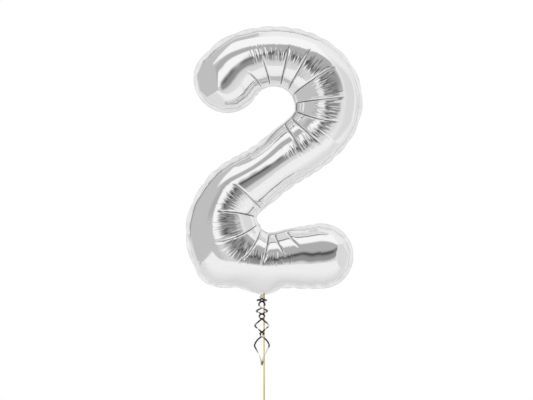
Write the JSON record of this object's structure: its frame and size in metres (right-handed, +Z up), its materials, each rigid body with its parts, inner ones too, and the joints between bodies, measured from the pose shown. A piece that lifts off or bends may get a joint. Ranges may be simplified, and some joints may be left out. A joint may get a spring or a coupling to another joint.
{
  "type": "foil number balloon",
  "caption": "Inflated foil balloon shaped as the digit two, with a sealed rim, a gathered neck, a flat tether ribbon with a hand loop, and two curled ribbon tails.",
  "frame": {"origin": "on the axis of the neck, where the ribbons are tied under the digit", "axes": "+X to the reader's right, +Y from the front face to the back face, +Z up"},
  "size_m": [0.5715, 0.2186, 1.2961],
  "materials": {
    "silver_foil": "mirror-bright metallised film",
    "valve_film": "clear thin film",
    "gold_ribbon": "satin metallic",
    "silver_ribbon": "bright metallic"
  },
  "bodies": {
    "balloon": {"front_foil_panel": "silver_foil", "back_foil_panel": "silver_foil", "front_valve_film": "valve_film", "back_valve_film": "valve_film", "gold_tie": "gold_ribbon", "silver_tie": "silver_ribbon"},
    "fill_tail": {"fill_tail": "silver_foil"},
    "ribbon_knots": {"gold_knot": "gold_ribbon", "silver_knot": "silver_ribbon"},
    "tether": {"tether_ribbon": "gold_ribbon", "tether_end_knot": "gold_ribbon", "tether_hand_loop": "gold_ribbon"},
    "curls": {"curled_tails": "silver_ribbon"}
  },
  "joints": [
    {"name": "tail_fold", "type": "hinge", "parent": "balloon", "child": "fill_tail", "pos_m": [0, 0.0058, -0.0045], "axis": [-1, 0, 0], "range_deg": [0, 132]},
    {"name": "ribbons_lean", "type": "hinge", "parent": "balloon", "child": "ribbon_knots", "pos_m": [0, -0.0086, 0.001], "axis": [-1, 0, 0], "range_deg": [0, 45]},
    {"name": "tether_sway", "type": "hinge", "parent": "ribbon_knots", "child": "tether", "pos_m": [0.0074, -0.0086, 0.001], "axis": [0, 1, 0], "range_deg": [-35, 35]},
    {"name": "curls_sway", "type": "hinge", "parent": "ribbon_knots", "child": "curls", "pos_m": [0, -0.0086, 0.001], "axis": [0, 1, 0], "range_deg": [-35, 35]}
  ]
}
